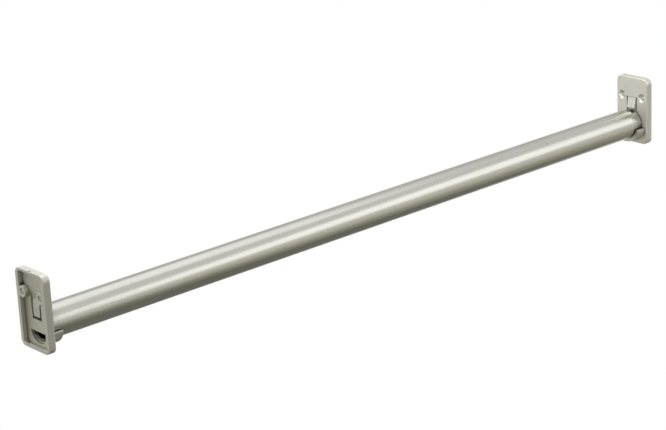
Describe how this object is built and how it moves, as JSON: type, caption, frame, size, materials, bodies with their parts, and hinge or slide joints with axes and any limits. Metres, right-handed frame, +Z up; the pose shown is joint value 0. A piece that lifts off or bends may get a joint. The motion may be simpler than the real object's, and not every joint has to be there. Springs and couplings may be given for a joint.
{
  "type": "adjustable closet rod",
  "caption": "Telescoping round closet rod in satin nickel that lies in saddle-shaped wall brackets with spring latches, for hanging clothes between closet walls.",
  "frame": {"origin": "on the left wall's surface, in the middle of the left bracket's lower rim", "axes": "+X along the rod from the left wall to the right wall, +Y into the closet's depth, +Z up"},
  "size_m": [0.762, 0.041, 0.07],
  "materials": {
    "tube_nickel": "thin-walled steel tube with a satin nickel plating",
    "bracket_nickel": "moulded plastic with a satin nickel metallic coat"
  },
  "bodies": {
    "left_bracket": {"left_bracket": "bracket_nickel"},
    "left_latch": {"left_latch": "bracket_nickel"},
    "outer_tube": {"outer_tube": "tube_nickel"},
    "right_bracket": {"right_bracket": "bracket_nickel"},
    "right_latch": {"right_latch": "bracket_nickel"},
    "inner_tube": {"inner_tube": "tube_nickel"}
  },
  "joints": [
    {"name": "telescope", "type": "slide", "parent": "left_bracket", "child": "right_bracket", "axis": [1, 0, 0], "range_m": [0, 0.457]},
    {"name": "outer_tube_turn", "type": "hinge", "parent": "left_bracket", "child": "outer_tube", "pos_m": [0.008, 0, 0.0203], "axis": [1, 0, 0], "continuous": true},
    {"name": "inner_tube_turn", "type": "hinge", "parent": "right_bracket", "child": "inner_tube", "pos_m": [0.754, 0, 0.0203], "axis": [1, 0, 0], "continuous": true},
    {"name": "left_latch_press", "type": "hinge", "parent": "left_bracket", "child": "left_latch", "pos_m": [0.0042, 0, 0.0473], "axis": [0, 1, 0], "range_deg": [0, 11], "stiffness_Nm_per_rad": 0.6},
    {"name": "right_latch_press", "type": "hinge", "parent": "right_bracket", "child": "right_latch", "pos_m": [0.7578, 0, 0.0473], "axis": [0, -1, 0], "range_deg": [0, 11], "stiffness_Nm_per_rad": 0.6}
  ]
}
